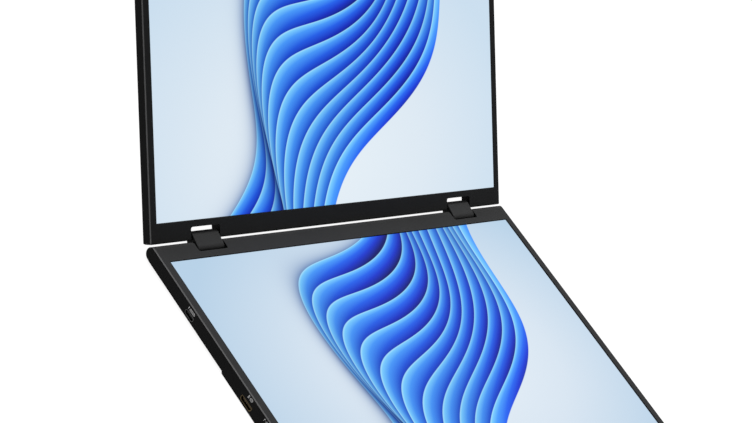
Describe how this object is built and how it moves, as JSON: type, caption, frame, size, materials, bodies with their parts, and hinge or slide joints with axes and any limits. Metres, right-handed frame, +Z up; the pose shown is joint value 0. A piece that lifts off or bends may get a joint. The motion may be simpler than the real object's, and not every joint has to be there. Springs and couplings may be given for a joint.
{
  "type": "dual portable monitor",
  "caption": "Two thin portable display panels joined by double-axis hinge links, with a fold-out stand, side ports and side buttons on the lower panel.",
  "frame": {"origin": "middle of the whole object in plan, on the table plane under the feet, panels open as drawn", "axes": "+X along the long edges to the right of the screens, +Y from the front edge back to the upper panel, +Z up"},
  "size_m": [0.3565, 0.3746, 0.1543],
  "materials": {
    "case_black": "matte",
    "bezel_charcoal": "matte",
    "display_glass": "satin",
    "backlight_white": "satin",
    "board_green": "satin",
    "chip_black": "matte",
    "cable_amber": "satin",
    "bare_steel": "satin",
    "hinge_black": "matte",
    "screw_black": "satin",
    "port_steel": "satin",
    "port_brass": "satin",
    "insert_black": "matte",
    "button_black": "matte",
    "rubber_black": "matte"
  },
  "bodies": {
    "lower_panel": {"lower_rear_cover": "case_black", "lower_front_bezel": "bezel_charcoal", "lower_lcd_cell": "display_glass", "lower_backlight_unit": "backlight_white", "lower_driver_board": "board_green", "lower_display_cable": "cable_amber", "lower_case_screws": "screw_black", "lower_hinge_bracket_left": "bare_steel", "lower_hinge_bracket_right": "bare_steel", "lower_bracket_screws": "bare_steel", "main_board": "board_green", "board_chips": "chip_black", "board_shield": "bare_steel", "board_screws": "bare_steel", "usb_c_port_rear": "port_steel", "usb_c_port_front": "port_steel", "mini_hdmi_port": "port_brass", "port_inserts": "insert_black", "button_board": "board_green", "button_switches": "chip_black", "speaker_left": "chip_black", "speaker_right": "chip_black", "rear_feet": "rubber_black", "front_feet": "rubber_black"},
    "hinge_links": {"hinge_link_left": "hinge_black", "hinge_link_right": "hinge_black", "lower_hinge_pin_left": "bare_steel", "lower_hinge_pin_right": "bare_steel", "upper_hinge_pin_left": "bare_steel", "upper_hinge_pin_right": "bare_steel"},
    "upper_panel": {"upper_rear_cover": "case_black", "upper_front_bezel": "bezel_charcoal", "upper_lcd_cell": "display_glass", "upper_backlight_unit": "backlight_white", "upper_driver_board": "board_green", "upper_display_cable": "cable_amber", "upper_case_screws": "screw_black", "upper_hinge_bracket_left": "bare_steel", "upper_hinge_bracket_right": "bare_steel", "upper_bracket_screws": "bare_steel"},
    "kickstand": {"kickstand_plate": "case_black", "kickstand_pins": "bare_steel", "kickstand_strip": "rubber_black"},
    "power_button": {"power_button": "button_black"},
    "menu_rocker": {"menu_rocker": "button_black"}
  },
  "joints": [
    {"name": "lower_hinge", "type": "hinge", "parent": "lower_panel", "child": "hinge_links", "pos_m": [0, 0.02289, 0.0068], "axis": [1, 0, 0], "range_deg": [-88.85, 68.65]},
    {"name": "upper_hinge", "type": "hinge", "parent": "hinge_links", "child": "upper_panel", "pos_m": [0, 0.03099, 0.00997], "axis": [1, 0, 0], "range_deg": [-88.85, 68.65]},
    {"name": "kickstand_hinge", "type": "hinge", "parent": "lower_panel", "child": "kickstand", "pos_m": [0, -0.07481, 0.00215], "axis": [1, 0, 0], "range_deg": [0, 95]},
    {"name": "power_button_press", "type": "slide", "parent": "lower_panel", "child": "power_button", "axis": [-1, 0, 0], "range_m": [0, 0.0005], "stiffness_N_per_m": 2000},
    {"name": "menu_rocker_tilt", "type": "hinge", "parent": "lower_panel", "child": "menu_rocker", "pos_m": [0.17585, -0.05101, 0.0058], "axis": [0, 0, 1], "range_deg": [-3, 3], "stiffness_Nm_per_rad": 0.5}
  ]
}
